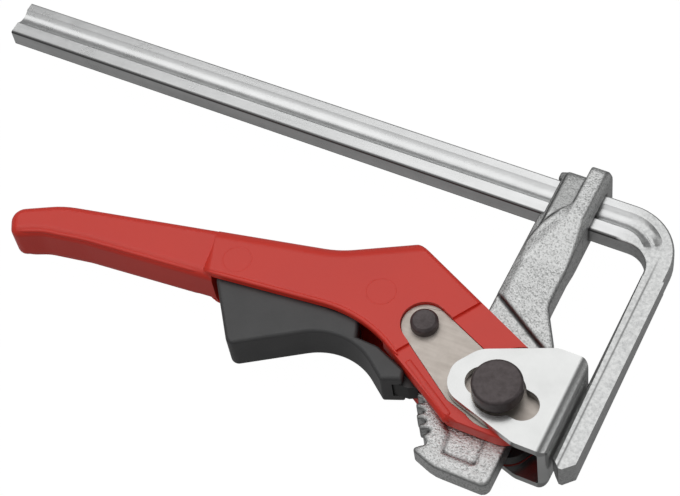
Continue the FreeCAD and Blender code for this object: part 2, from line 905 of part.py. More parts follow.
def seat_plates(body):
    """Pockets in which the two side plates lie."""
    inside = plate_levels()[1]
    depth = S.HeadThickness
    for name, level, reverse in (("Front", inside, True), ("Back", -inside - depth, True)):
        for part, draw in (
            ("Link", lambda s: outline(s, plate_outline_corners(S.PlateFit))),
            ("Heel", lambda s: circle(s, PIN[0], PIN[1], S.PlateHeelRadius + S.PlateFit)),
            ("Cam", lambda s: circle(s, CAM[0], CAM[1], S.CamRadius + S.PlateFit)),
        ):
            sketch = new_sketch(body, f"Seat{name}{part}", "XY_Plane", level)
            draw(sketch)
            extrude(body, "Pocket", sketch, depth, "One side", reverse)
            doc.recompute()


def build_rivet():
    """Rivet with a raised head on each side, the trigger's axle."""
    body = new_body("trigger_rivet")
    face = S.PlateFace / 2
    top = face + S.RivetHeadHeight
    shank = S.RivetDiameter / 2
    base = S.RivetHeadDiameter / 2
    disc = S.RivetFaceDiameter / 2
    step = face + S.RivetHeadHeight * 0.72
    revolve_about(
        body,
        "Profile",
        RIVET,
        [
            (0, top),
            (0, -top),
            (disc, -top, 0.4),
            (base, -step, 0.4),
            (base, -face),
            (shank, -face),
            (shank, face),
            (base, face),
            (base, step, 0.4),
            (disc, top, 0.4),
        ],
    )
    return body


def pawl_tip_radius():
    return S.ToothRadius + S.PawlClearance


def pawl_corners():
    """The pawl below its eye: down past the teeth, with a nose towards them."""
    x = PIN[0]
    inner = S.ToothRadius + 1.2
    return [
        (RIVET[0] - S.PawlEyeRadius, S.RivetRise),
        (RIVET[0] - 5.0, -1.0, 3),
        (RIVET[0] - 3.2, -6.0, 1),
        (x - 26.0, -5.6),
        polar(PIN, pawl_tip_radius(), 190),
        (*polar(PIN, pawl_tip_radius(), 185.5), 0.5),
        (*polar(PIN, inner, 183), 1),
        (*polar(PIN, inner, 170), 6),
        (RIVET[0] + S.PawlEyeRadius, S.RivetRise),
    ]


def build_pawl():
    """Steel pawl that turns on the rivet and faces the teeth."""
    body = new_body("ratchet_pawl")
    lever = new_sketch(body, "Lever")
    outline(lever, pawl_corners())
    pad(body, lever, S.PawlThickness)
    eye = new_sketch(body, "Eye")
    circle(eye, RIVET[0], RIVET[1], S.PawlEyeRadius)
    pad(body, eye, S.PawlThickness)
    holes = new_sketch(body, "Holes")
    circle(holes, RIVET[0], RIVET[1], S.RivetDiameter / 2 + S.PinRunningGap)
    circle(holes, *pawl_pin_place(), S.PawlPinDiameter / 2)
    pocket(body, holes, 2 * S.PawlThickness)
    return body


def pawl_pin_place():
    return (RIVET[0] - 1.9, -3.4)


def build_trigger():
    """Moulded trigger: a curved finger rest, with a block that holds the pawl."""
    body = new_body("trigger")
    x = PIN[0]
    far = x - S.TriggerReach
    tip = x - S.TriggerTipReach
    block = RIVET[0] + 1.3
    shape = new_sketch(body, "Outline")
    outline(
        shape,
        [
            (far, S.TriggerTop, 2),
            (far, 4.2, 3),
            (tip, -S.TriggerTipDrop, 2.5),
            (x - S.FingerReach, S.FingerRise, S.FingerRadius),
            (RIVET[0] - 4.6, -7.6, 0.8),
            (block, -5.2, 0.6),
            (block - 0.8, -2.0, 2),
            (RIVET[0] - 10.0, 2.3, 6),
            (RIVET[0] - 17.0, 2.6),
            (RIVET[0] - 19.0, S.TriggerTop, 2),
        ],
    )
    pad(body, shape, S.TriggerThickness)
    held_end = (RIVET[0] - 2.9).value
    on_lever = lambda point: point.x < held_end
    round_broad_edges(body, "BroadEdges", S.TriggerThickness, S.TriggerEdgeRadius, on_lever)
    slot = new_sketch(body, "PawlSlot")
    outline(
        slot,
        [
            (RIVET[0] - S.PawlEyeRadius - 0.6, S.RivetRise),
            (RIVET[0] - 5.2, -1.0, 3),
            (RIVET[0] - 3.4, -6.4, 1),
            (RIVET[0] + 6, -6.4),
            (RIVET[0] + 6, S.RivetRise),
        ],
    )
    pocket(body, slot, S.PawlThickness + 2 * S.PawlFit)
    hole = new_sketch(body, "PinHole", "XY_Plane", -S.TriggerThickness / 2)
    circle(hole, *pawl_pin_place(), S.PawlPinDiameter / 2)
    pocket(body, hole, S.TriggerThickness - S.PawlPinCover, "One side", True)
    return body


def build_pawl_pin():
    """Pin that ties the pawl to the trigger, pressed in from the back and stopped below the front face."""
    body = new_body("pawl_pin")
    sketch = new_sketch(body, "Round", "XY_Plane", -S.TriggerThickness / 2)
    circle(sketch, *pawl_pin_place(), S.PawlPinDiameter / 2)
    pad(body, sketch, S.TriggerThickness - S.PawlPinCover, "One side")
    return body


def build_spring():
    """Flat-wire coil spring that pushes the trigger down, between its back and the channel's roof."""
    body = new_body("trigger_spring")
    bottom = S.TriggerTop + S.SpringWire / 2
    top = head_top_line(S.SpringReach) - S.HandleWall - S.SpringWire * 0.8
    sketch = body.newObject("Sketcher::SketchObject", "trigger_spring_Wire")
    plane = [item for item in body.Origin.OriginFeatures if item.Role == "XY_Plane"][0]
    sketch.AttachmentSupport = (plane, [""])
    sketch.MapMode = "FlatFace"
    sketch.setExpression("AttachmentOffset.Base.x", (PIN[0] - S.SpringReach).text)
    sketch.setExpression("AttachmentOffset.Base.y", bottom.text)
    inside = S.SpringDiameter / 2 - S.SpringWire
    rectangle(sketch, inside, -S.SpringWire / 2, inside + S.SpringWire, S.SpringWire / 2)
    coil = body.newObject("PartDesign::AdditiveHelix", "trigger_spring_Coil")
    coil.Profile = sketch
    coil.ReferenceAxis = (sketch, ["V_Axis"])
    coil.Mode = "height-turns-angle"
    coil.setExpression("Height", (top - bottom).text)
    coil.setExpression("Turns", S.SpringTurns.text)
    doc.recompute()
    return body


def shoe_cheek_corners():
    """Side outline of the shoe's cheeks, from the web back round the pin."""
    web = -S.ShoeGap
    back = -S.ShoeReach
    return [
        (web, S.ShoeRise, S.ShoeCornerRadius),
        (PIN[0] + 10.0, S.ShoeRise, 6),
        (back + 5, S.ShoeUpperRise, S.ShoeEndRadius),
        (back, 3, 6),
        (back + 1, -S.ShoeLowerDrop + 2, S.ShoeEndRadius - 1),
        (PIN[0] + 10.0, -S.ShoeDrop, 6),
        (web, -S.ShoeDrop, 3),
    ]


def build_shoe():
    """Pressure shoe: one sheet bent to a U, with a guide slot for the pin in both cheeks."""
    body = new_body("pressure_shoe")
    half = S.ShoeWidth / 2
    inner = half - S.ShoeSheet
    web = -S.ShoeGap
    back = -S.ShoeReach - CUT_MARGIN
    bend = new_sketch(body, "BentSheet", "XZ_Plane")
    outline(
        bend,
        [
            (back, -half),
            (web, -half, S.ShoeBendRadius),
            (web, half, S.ShoeBendRadius),
            (back, half),
            (back, inner),
            (web - S.ShoeSheet, inner, S.ShoeBendRadius - S.ShoeSheet),
            (web - S.ShoeSheet, -inner, S.ShoeBendRadius - S.ShoeSheet),
            (back, -inner),
        ],
    )
    pad(body, bend, 4 * S.ShoeRise)
    trim = new_sketch(body, "Trim")
    reach = 3 * S.ShoeRise
    rectangle(trim, back - CUT_MARGIN, -reach, Size(CUT_MARGIN), reach)
    outline(trim, shoe_cheek_corners())
    pocket(body, trim, 2 * S.ShoeWidth)
    slot = new_sketch(body, "Slot")
    half_slot = S.SlotWidth / 2
    ends = []
    for distance, turn in ((S.SlotBack, 180 - S.SlotAngle), (S.SlotFront, -S.SlotAngle)):
        centre = polar(PIN, distance + half_slot, turn)
        for side in (-1, 1):
            corner = polar(centre, half_slot, turn - 90 * side)
            ends.append((corner[0], corner[1], half_slot - 0.02))
    outline(slot, ends)
    pocket(body, slot, 2 * S.ShoeWidth)
    hole = new_sketch(body, "SlotHole")
    circle(hole, PIN[0] + 0.3, PIN[1] - 0.1, S.SlotHoleDiameter / 2)
    pocket(body, hole, 2 * S.ShoeWidth)
    return body


bodies = [
    build_rail(),
    build_arm(),
    build_pin(),
    build_ring(),
    build_handle(),
    build_side_plate("side_plate_front", True),
    build_side_plate("side_plate_back", False),
    build_rivet(),
    build_trigger(),
    build_pawl(),
    build_pawl_pin(),
    build_spring(),
    build_shoe(),
]
doc.recompute()

for item in doc.Objects:
    if "Invalid" in item.State or "Error" in item.State:
        raise RuntimeError(f"{item.Name} failed: {item.State}")
for body in bodies:
    if body.Shape.isNull() or not body.Shape.isValid() or len(body.Shape.Solids) != 1:
        raise RuntimeError(f"{body.Label} is not one valid solid")

os.makedirs("parts", exist_ok=True)
for body in bodies:
    body.Shape.exportStep(os.path.join("parts", f"{body.Label}.step"))
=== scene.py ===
"""Looks of the guide rail clamp: finishes of its steel, forged and moulded pieces, light and camera."""

import json
import math

import bmesh
import bpy
import numpy as np
from mathutils import Matrix, Vector

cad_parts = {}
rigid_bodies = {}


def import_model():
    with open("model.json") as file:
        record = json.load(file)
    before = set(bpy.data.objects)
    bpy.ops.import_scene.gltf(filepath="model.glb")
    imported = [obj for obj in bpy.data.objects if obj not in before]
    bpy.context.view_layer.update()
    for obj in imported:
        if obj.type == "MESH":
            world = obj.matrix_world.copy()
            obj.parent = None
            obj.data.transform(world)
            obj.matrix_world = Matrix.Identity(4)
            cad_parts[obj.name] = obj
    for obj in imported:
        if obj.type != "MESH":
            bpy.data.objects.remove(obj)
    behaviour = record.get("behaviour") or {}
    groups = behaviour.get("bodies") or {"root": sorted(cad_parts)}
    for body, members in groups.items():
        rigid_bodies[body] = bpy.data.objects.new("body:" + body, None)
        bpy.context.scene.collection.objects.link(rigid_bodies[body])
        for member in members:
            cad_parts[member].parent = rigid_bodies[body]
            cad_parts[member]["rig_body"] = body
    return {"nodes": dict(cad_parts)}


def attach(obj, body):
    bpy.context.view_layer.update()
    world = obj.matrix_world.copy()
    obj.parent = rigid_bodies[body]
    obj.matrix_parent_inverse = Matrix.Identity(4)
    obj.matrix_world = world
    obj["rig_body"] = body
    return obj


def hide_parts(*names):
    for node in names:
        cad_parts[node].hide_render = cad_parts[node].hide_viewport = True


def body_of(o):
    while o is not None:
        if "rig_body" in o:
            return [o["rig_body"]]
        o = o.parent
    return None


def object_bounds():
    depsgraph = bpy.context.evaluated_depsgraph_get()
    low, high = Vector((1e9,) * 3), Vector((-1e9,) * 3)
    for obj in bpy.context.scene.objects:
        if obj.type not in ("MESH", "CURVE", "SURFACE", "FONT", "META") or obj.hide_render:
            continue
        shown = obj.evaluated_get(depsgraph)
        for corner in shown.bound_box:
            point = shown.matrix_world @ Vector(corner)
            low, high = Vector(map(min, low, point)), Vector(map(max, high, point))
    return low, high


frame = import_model()
cad_low, cad_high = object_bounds()
NODES = frame["nodes"]

# Camera: where it stands, what it looks at, its roll and the photograph's field of view.
CAMERA_PLACE = Vector((0.1044, -0.2318, 0.4767))
CAMERA_AZIMUTH = math.radians(36.08)
CAMERA_ELEVATION = math.radians(55.63)
CAMERA_ROLL = math.radians(11.10)
FOCAL_PIXELS = 1904.4
FRAME_WIDTH_PIXELS = 680.0
SENSOR_WIDTH_MM = 36.0

MM = 0.001


def make_camera():
    """Camera at the photograph's angle: right and forward from azimuth and elevation, then the roll."""
    az, el, roll = CAMERA_AZIMUTH, CAMERA_ELEVATION, CAMERA_ROLL
    right = Vector((math.cos(az), math.sin(az), 0.0))
    forward = Vector((-math.sin(az) * math.cos(el), math.cos(az) * math.cos(el), -math.sin(el)))
    down = forward.cross(right)
    across = math.cos(roll) * right + math.sin(roll) * down
    up = math.sin(roll) * right - math.cos(roll) * down
    data = bpy.data.cameras.new("camera")
    data.sensor_width = SENSOR_WIDTH_MM
    data.lens = FOCAL_PIXELS / FRAME_WIDTH_PIXELS * SENSOR_WIDTH_MM
    data.clip_start = 0.01
    data.clip_end = 20.0
    camera = bpy.data.objects.new("camera", data)
    turn = Matrix((across, up, -forward)).transposed().to_4x4()
    camera.matrix_world = Matrix.Translation(CAMERA_PLACE) @ turn
    bpy.context.collection.objects.link(camera)
    bpy.context.scene.camera = camera


# Lamps: name, place, size across and along, and radiance, where 1 shows white in a mirror.
LAMPS = (
    ("overhead", (-0.42, 0.38, 1.35), (1.8, 1.3), 1.15),
    ("front", (-0.30, -0.86, 1.15), (1.5, 0.8), 0.75),
    ("strip", (1.15, 0.45, 0.42), (0.12, 1.2), 3.0),
)
LAMP_TARGET = Vector((-0.07, 0.02, 0.0))
# Strength of the surroundings as a light, the share of plain white that the camera and the reflections see,
# and the floor's grey, glow, half width and distance below the clamp.
WORLD_STRENGTH = 0.20
CAMERA_SHARE = 0.94
GLOSSY_SHARE = 0.15
FLOOR_GREY = (0.32, 0.32, 0.32, 1.0)
FLOOR_GLOW = 1.06
FLOOR_HALF = 3.0
FLOOR_DROP = 0.2 * MM
WHITE = (1.0, 1.0, 1.0, 1.0)


def make_lamps():
    """Soft area lamps round the object."""
    for name, place, (across, along), radiance in LAMPS:
        data = bpy.data.lights.new(name, "AREA")
        data.shape = "RECTANGLE"
        data.size = across
        data.size_y = along
        data.energy = radiance * math.pi * across * along
        lamp = bpy.data.objects.new(name, data)
        away = Vector(place) - LAMP_TARGET
        turn = away.to_track_quat("Z", "Y").to_matrix().to_4x4()
        lamp.matrix_world = Matrix.Translation(Vector(place)) @ turn
        bpy.context.collection.objects.link(lamp)


def white_share(tree):
    """How far a ray sees plain white: nearly all for the camera, a little for reflections."""
    path = tree.nodes.new("ShaderNodeLightPath")
    parts = []
    for output, share in (("Is Camera Ray", CAMERA_SHARE), ("Is Glossy Ray", GLOSSY_SHARE)):
        part = tree.nodes.new("ShaderNodeMath")
        part.operation = "MULTIPLY"
        part.inputs[1].default_value = share
        tree.links.new(path.outputs[output], part.inputs[0])
        parts.append(part)
    both = tree.nodes.new("ShaderNodeMath")
    both.operation = "MAXIMUM"
    tree.links.new(parts[0].outputs[0], both.inputs[0])
    tree.links.new(parts[1].outputs[0], both.inputs[1])
    return both.outputs[0]


def make_world():
    """Plain world: white where the camera sees it, softer as a light."""
    world = bpy.data.worlds.new("studio")
    world.use_nodes = True
    bpy.context.scene.world = world
    tree = world.node_tree
    tree.nodes.clear()
    out = tree.nodes.new("ShaderNodeOutputWorld")
    soft = tree.nodes.new("ShaderNodeBackground")
    soft.inputs["Color"].default_value = WHITE
    soft.inputs["Strength"].default_value = WORLD_STRENGTH
    white = tree.nodes.new("ShaderNodeBackground")
    white.inputs["Color"].default_value = WHITE
    white.inputs["Strength"].default_value = 1.0
    mix = tree.nodes.new("ShaderNodeMixShader")
    tree.links.new(white_share(tree), mix.inputs["Fac"])
    tree.links.new(soft.outputs["Background"], mix.inputs[1])
    tree.links.new(white.outputs["Background"], mix.inputs[2])
    tree.links.new(mix.outputs["Shader"], out.inputs["Surface"])


class Finish:
    """A principled shader whose colour, roughness and bump come from patterns on Object coordinates."""

    def __init__(self, name, metallic, **sockets):
        self.material = bpy.data.materials.new(name)
        self.material.use_nodes = True
        self.tree = self.material.node_tree
        self.tree.nodes.clear()
        self.out = self.add("ShaderNodeOutputMaterial")
        self.shader = self.add("ShaderNodeBsdfPrincipled")
        self.shader.inputs["Metallic"].default_value = metallic
        for key, value in sockets.items():
            self.shader.inputs[key.replace("_", " ")].default_value = value
        self.link(self.shader.outputs["BSDF"], self.out.inputs["Surface"])
        self.place = self.add("ShaderNodeTexCoord").outputs["Object"]

    def add(self, kind, **settings):
        node = self.tree.nodes.new(kind)
        for key, value in settings.items():
            setattr(node, key, value)
        return node

    def link(self, source, target):
        self.tree.links.new(source, target)

    def stretched(self, scale, turn=(0.0, 0.0, 0.0)):
        """Object coordinates stretched by a scale along each axis, so that a grain runs one way."""
        mapping = self.add("ShaderNodeMapping")
        mapping.inputs["Scale"].default_value = scale
        mapping.inputs["Rotation"].default_value = turn
        self.link(self.place, mapping.inputs["Vector"])
        return mapping.outputs["Vector"]

    def noise(self, scale, detail=4.0, roughness=0.55, place=None):
        """Soft clouds: the scale is in waves per metre."""
        node = self.add("ShaderNodeTexNoise")
        node.inputs["Scale"].default_value = scale
        node.inputs["Detail"].default_value = detail
        node.inputs["Roughness"].default_value = roughness
        self.link(place or self.place, node.inputs["Vector"])
        return node.outputs["Fac"]

    def ramp(self, source, *stops):
        """Colour by value: each stop is a position and a grey level or a colour."""
        node = self.add("ShaderNodeValToRGB")
        elements = node.color_ramp.elements
        while len(elements) < len(stops):
            elements.new(0.5)
        for element, (at, colour) in zip(elements, stops):
            element.position = at
            element.color = (colour,) * 3 + (1.0,) if isinstance(colour, float) else (*colour, 1.0)
        self.link(source, node.inputs["Fac"])
        return node.outputs["Color"]

    def spread(self, source, low, high, start=0.0, end=1.0):
        """A value carried from one range to another."""
        node = self.add("ShaderNodeMapRange")
        node.inputs["From Min"].default_value = start
        node.inputs["From Max"].default_value = end
        node.inputs["To Min"].default_value = low
        node.inputs["To Max"].default_value = high
        self.link(source, node.inputs["Value"])
        return node.outputs["Result"]

    def mix(self, share, first, second):
        """Two colours mixed by a share, which is a number or a pattern."""
        node = self.add("ShaderNodeMix", data_type="RGBA")
        sockets = (node.inputs[0], node.inputs[6], node.inputs[7])
        for socket, value in zip(sockets, (share, first, second)):
            if isinstance(value, bpy.types.NodeSocket):
                self.link(value, socket)
            elif isinstance(value, float):
                socket.default_value = value
            else:
                socket.default_value = (*value, 1.0)
        return node.outputs[2]

    def beyond(self, axis, edge, softness):
        """0 below an edge along one axis of the object, 1 above it."""
        split = self.add("ShaderNodeSeparateXYZ")
        self.link(self.place, split.inputs[0])
        return self.spread(split.outputs[axis], 0.0, 1.0, edge - softness, edge + softness)

    def within(self, axis, edge, softness):
        """1 within an edge on both sides of the middle plane, 0 outside it."""
        split = self.add("ShaderNodeSeparateXYZ")
        self.link(self.place, split.inputs[0])
        size = self.add("ShaderNodeMath", operation="ABSOLUTE")
        self.link(split.outputs[axis], size.inputs[0])
        return self.spread(size.outputs[0], 1.0, 0.0, edge - softness, edge + softness)

    def outside(self, axis, edge, softness):
        """0 within an edge on both sides of the middle plane, 1 outside it."""
        return self.spread(self.within(axis, edge, softness), 1.0, 0.0)

    def both(self, first, second):
        """Product of two masks."""
        node = self.add("ShaderNodeMath", operation="MULTIPLY")
        self.link(first, node.inputs[0])
        self.link(second, node.inputs[1])
        return node.outputs[0]

    def below(self, axis, edge, softness):
        """1 below an edge along one axis of the object, 0 above it."""
        return self.spread(self.beyond(axis, edge, softness), 1.0, 0.0)

    def along(self, start, end, half, softness):
        """1 within a half width of the line through two points x and y, 0 further off."""
        run = Vector((end[0] - start[0], end[1] - start[1], 0.0)).normalized()
        across = Vector((-run.y, run.x, 0.0))
        dot = self.add("ShaderNodeVectorMath", operation="DOT_PRODUCT")
        self.link(self.place, dot.inputs[0])
        dot.inputs[1].default_value = across
        away = self.add("ShaderNodeMath", operation="SUBTRACT")
        self.link(dot.outputs["Value"], away.inputs[0])
        away.inputs[1].default_value = across.dot(Vector((start[0], start[1], 0.0)))
        size = self.add("ShaderNodeMath", operation="ABSOLUTE")
        self.link(away.outputs[0], size.inputs[0])
        return self.spread(size.outputs[0], 1.0, 0.0, half - softness, half + softness)

    def colour(self, source):
        self.link(source, self.shader.inputs["Base Color"])

    def roughness(self, source):
        self.link(source, self.shader.inputs["Roughness"])

    def bump(self, *layers):
        """Stacked bumps: each layer is a height pattern, a depth in metres and a strength."""
        normal = None
        for height, depth, strength in layers:
            node = self.add("ShaderNodeBump")
            node.inputs["Distance"].default_value = depth
            node.inputs["Strength"].default_value = strength
            self.link(height, node.inputs["Height"])
            if normal is not None:
                self.link(normal, node.inputs["Normal"])
            normal = node.outputs["Normal"]
        self.link(normal, self.shader.inputs["Normal"])


# Tints of painted shade where a piece is darker: the bend and forged jaw's line, the bar's lower edge, the
# forging's creases, rounded edges, step line and low shelf, the inside of the fork as shadow, and the shoe's
# bend as a dark reflection.
JAW_SHADE_LINE_TINT = (0.10, 0.10, 0.10)
BAR_EDGE_SHADE_TINT = (0.12, 0.12, 0.12)
CREASE_SHADE_TINT = (0.07, 0.072, 0.073)
EDGE_SHADE_TINT = (0.22, 0.223, 0.22)
STEP_SHADE_TINT = (0.13, 0.134, 0.136)
SHELF_SHADE_TINT = (0.30, 0.305, 0.30)
SHOE_BEND_REFLECTION_TINT = (0.36, 0.363, 0.36)
FORK_INSIDE_SHADOW_TINT = (0.016, 0.014, 0.014)
# The jaw's forged skin starts left of the bend; its dark line of painted shade lies between two places along
# X, up to the bend.
FORGED_FROM = -9.0 * MM
JAW_LINE = (2.3 * MM, 2.8 * MM)
JAW_LINE_END = 60.0 * MM
# The bar's lower edge, where a strip of painted shade lies: below this height along Y and above this one
# along Z, left of the bend.
BAR_EDGE_HEIGHT = 65.5 * MM
BAR_EDGE_FACE = 2.5 * MM
BAR_EDGE_END = -11.0 * MM
# The forging's low shelf above the bar's near edge, painted half in shade, and the two ends and half width of
# its step line of painted shade.
SHELF_FROM = 64.0 * MM
SHELF_HALF = 6.9 * MM
STEP_LINE = ((-36.2 * MM, 33.6 * MM), (-12.9 * MM, 19.0 * MM))
STEP_LINE_HALF = 0.55 * MM
# The shoe's bend, where a dark reflection is painted: right of this place along X and outside this half
# thickness.
SHOE_BEND_FROM = -3.3 * MM
SHOE_BEND_HALF = 8.0 * MM
# The inside of the fork, painted near black as shadow: right of, within, below and behind these places.
FORK_INSIDE = (-24.0 * MM, 7.9 * MM, -3.0 * MM, 2.0 * MM)


def drawn_zinc():
    """Zinc-plated drawn bar: smooth, with faint streaks along X; the jaw is duller, with a fine dark line of
    painted shade, and a strip of painted shade lies along the bar's lower edge.
    """
    f = Finish("drawn_zinc", 1.0)
    streaks = f.noise(260.0, 3.0, 0.5, f.stretched((0.05, 1.0, 1.0)))
    clouds = f.noise(140.0, 5.0, 0.6)
    tone = f.mix(0.5, f.ramp(streaks, (0.3, (0.50, 0.505, 0.505)), (0.7, (0.68, 0.685, 0.685))),
                 f.ramp(clouds, (0.3, (0.50, 0.505, 0.505)), (0.7, (0.68, 0.685, 0.685))))
    mottle = f.noise(900.0, 5.0, 0.65)
    forged = f.ramp(mottle, (0.3, (0.36, 0.365, 0.365)), (0.6, (0.54, 0.545, 0.54)))
    face = f.mix(f.beyond("X", FORGED_FROM, 4.0 * MM), tone, forged)
    # Painted shade: a fine dark line down the jaw, fading out towards the bend.
    line = f.both(f.beyond("X", JAW_LINE[0], 0.2 * MM), f.below("X", JAW_LINE[1], 0.2 * MM))
    line = f.both(line, f.spread(f.beyond("Y", JAW_LINE_END, 6.0 * MM), 0.8, 0.0))
    # Painted shade: a dark strip along the bar's lower edge, left of the bend.
    near = f.both(f.below("Y", BAR_EDGE_HEIGHT, 0.2 * MM), f.outside("Z", BAR_EDGE_FACE, 0.2 * MM))
    bar = f.both(f.beyond("Y", 60.0 * MM, 1.0 * MM), f.below("X", BAR_EDGE_END, 1.0 * MM))
    f.colour(f.mix(f.both(near, bar), f.mix(line, face, JAW_SHADE_LINE_TINT), BAR_EDGE_SHADE_TINT))
    f.roughness(f.spread(clouds, 0.22, 0.36))
    grain = f.noise(1500.0, 3.0, 0.6)
    f.bump((streaks, 0.00010, 0.25), (grain, 0.00006, 0.35))
    return f.material


def cast_zinc():
    """Zinc-plated forging: a hammered grain with bright flecks; painted shade darkens its creases, rounded
    edges, step line and low shelf.
    """
    f = Finish("cast_zinc", 1.0)
    lumps = f.noise(420.0, 4.0, 0.6)
    grain = f.noise(1700.0, 3.0, 0.65)
    skin = f.mix(0.6, f.ramp(lumps, (0.3, (0.50, 0.505, 0.50)), (0.7, (0.66, 0.665, 0.66))),
                 f.ramp(grain, (0.36, (0.22, 0.225, 0.22)), (0.52, (0.76, 0.765, 0.76))))
    # Painted shade: the low shelf above the bar's near edge is mixed half way towards a dark grey.
    shelf = f.both(f.beyond("Y", SHELF_FROM, 3.0 * MM), f.within("Z", SHELF_HALF, 0.8 * MM))
    skin_and_shade = f.mix(f.spread(shelf, 0.0, 0.5), skin, SHELF_SHADE_TINT)
    bends = f.add("ShaderNodeNewGeometry").outputs["Pointiness"]
    # Painted shade in the creases, where pointiness is low.
    creased = f.spread(bends, 1.0, 0.0, 0.478, 0.497)
    # Painted shade on the rounded edges, where pointiness is high.
    rounded_edges = f.spread(bends, 0.0, 0.8, 0.506, 0.532)
    # Painted shade along the step line.
    step = f.along(*STEP_LINE, STEP_LINE_HALF, 0.3 * MM)
    skin_and_shade = f.mix(step, skin_and_shade, STEP_SHADE_TINT)
    f.colour(f.mix(rounded_edges, f.mix(creased, skin_and_shade, CREASE_SHADE_TINT), EDGE_SHADE_TINT))
    f.roughness(f.spread(lumps, 0.28, 0.44))
    f.bump((lumps, 0.00040, 0.55), (grain, 0.00024, 0.95))
    return f.material


def folded_zinc():
    """Zinc-plated folded sheet: smooth and bright, faintly mottled, with a painted dark reflection round the
    bend.
    """
    f = Finish("folded_zinc", 1.0)
    clouds = f.noise(90.0, 5.0, 0.55)
    flat = f.ramp(clouds, (0.3, (0.53, 0.535, 0.53)), (0.7, (0.60, 0.605, 0.60)))
    # Painted dark reflection round the bend.
    bend = f.both(f.beyond("X", SHOE_BEND_FROM, 0.3 * MM), f.outside("Z", SHOE_BEND_HALF, 0.4 * MM))
    f.colour(f.mix(bend, flat, SHOE_BEND_REFLECTION_TINT))
    f.roughness(f.spread(clouds, 0.2, 0.3))
    f.bump((f.noise(700.0, 3.0), 0.00006, 0.25))
    return f.material


def bare_plate():
    """Bare pressed sheet with a warm, dull skin, darker spots and fine scratches."""
    f = Finish("bare_plate", 0.75)
    clouds = f.noise(170.0, 6.0, 0.65)
    plate_run = f.stretched((0.12, 1.0, 1.0), (0.0, 0.0, math.radians(-24.0)))
    scratches = f.noise(600.0, 2.0, 0.5, plate_run)
    tone = f.mix(0.35, f.ramp(clouds, (0.3, (0.40, 0.35, 0.31)), (0.7, (0.60, 0.54, 0.49))),
                 f.ramp(scratches, (0.35, (0.42, 0.38, 0.34)), (0.65, (0.62, 0.57, 0.52))))
    f.colour(tone)
    f.roughness(f.spread(clouds, 0.36, 0.52))
    f.bump((scratches, 0.00006, 0.3), (clouds, 0.0001, 0.2))
    return f.material


def browned_pin():
    """Browned steel: dark, dull, with a grainy turned end."""
    f = Finish("browned_pin", 0.55)
    clouds = f.noise(500.0, 5.0, 0.65)
    f.colour(f.ramp(clouds, (0.3, (0.062, 0.05, 0.05)), (0.75, (0.13, 0.11, 0.112))))
    f.roughness(f.spread(clouds, 0.38, 0.58))
    f.bump((clouds, 0.00015, 0.5), (f.noise(2500.0, 2.0), 0.00005, 0.4))
    return f.material


def plain_steel(name, level, rough):
    """Plain steel for the spring, ring, pawl and its pin."""
    f = Finish(name, 1.0)
    clouds = f.noise(600.0, 4.0, 0.6)
    f.colour(f.ramp(clouds, (0.3, (level * 0.85,) * 3), (0.7, (level * 1.15,) * 3)))
    f.roughness(f.spread(clouds, rough - 0.06, rough + 0.08))
    f.bump((clouds, 0.00008, 0.3))
    return f.material


def red_moulding():
    """Red satin moulding: even colour, a fine grain and soft flow marks; the fork's inside is painted near
    black as shadow.
    """
    f = Finish("red_moulding", 0.0, Coat_Weight=0.15, Coat_Roughness=0.35, IOR=1.5)
    clouds = f.noise(35.0, 4.0, 0.5)
    specks = f.noise(2600.0, 2.0, 0.5)
    red = f.ramp(clouds, (0.3, (0.80, 0.034, 0.017)), (0.7, (0.86, 0.042, 0.021)))
    # Painted shadow: the inside of the fork is near black.
    left, half, top, front = FORK_INSIDE
    inner = f.both(f.beyond("X", left, 0.5 * MM), f.within("Z", half, 0.05 * MM))
    inner = f.both(f.both(inner, f.below("Y", top, 1.0 * MM)), f.below("Z", front, 0.5 * MM))
    f.colour(f.mix(inner, red, FORK_INSIDE_SHADOW_TINT))
    f.roughness(f.spread(clouds, 0.34, 0.44))
    f.bump((specks, 0.00004, 0.35), (f.noise(220.0, 3.0), 0.00005, 0.15))
    return f.material


def black_moulding():
    """Black moulding with a fine grained skin."""
    f = Finish("black_moulding", 0.0, IOR=1.5)
    clouds = f.noise(120.0, 4.0, 0.5)
    specks = f.noise(2200.0, 3.0, 0.6)
    f.colour(f.ramp(clouds, (0.3, (0.052, 0.052, 0.053)), (0.7, (0.066, 0.066, 0.067))))
    f.roughness(f.spread(specks, 0.36, 0.5))
    f.bump((specks, 0.00006, 0.5))
    return f.material


# Radius in millimetres of the rounded edges of each piece.
EDGE_RADII = {
    "rail": 0.7,
    "pressure_shoe": 0.3,
    "side_plate_front": 0.2,
    "side_plate_back": 0.2,
    "pivot_pin": 0.8,
    "trigger_rivet": 0.35,
    "handle": 0.35,
    "trigger": 0.4,
    "ratchet_pawl": 0.25,
}
# Edges sharper than this are rounded; points nearer than the weld are one; flatter seams are dissolved.
EDGE_ANGLE = math.radians(24.0)
EDGE_SEGMENTS = 3
WELD = 2e-6
FLAT_ANGLE = math.radians(0.4)


# The bend's centre, the groove's radii round it, its greatest depth and turn, and half the bar's thickness.
BEND_HUB = (-10.5 * MM, 60.8 * MM)
GROOVE_RADII = (8.2 * MM, 14.5 * MM)
GROOVE_DEEPEST = 2.0 * MM
GROOVE_TURN = math.radians(75.0)
BAR_HALF = 3.25 * MM
FADE_ANGLES = (math.radians(38.0), math.radians(68.0))


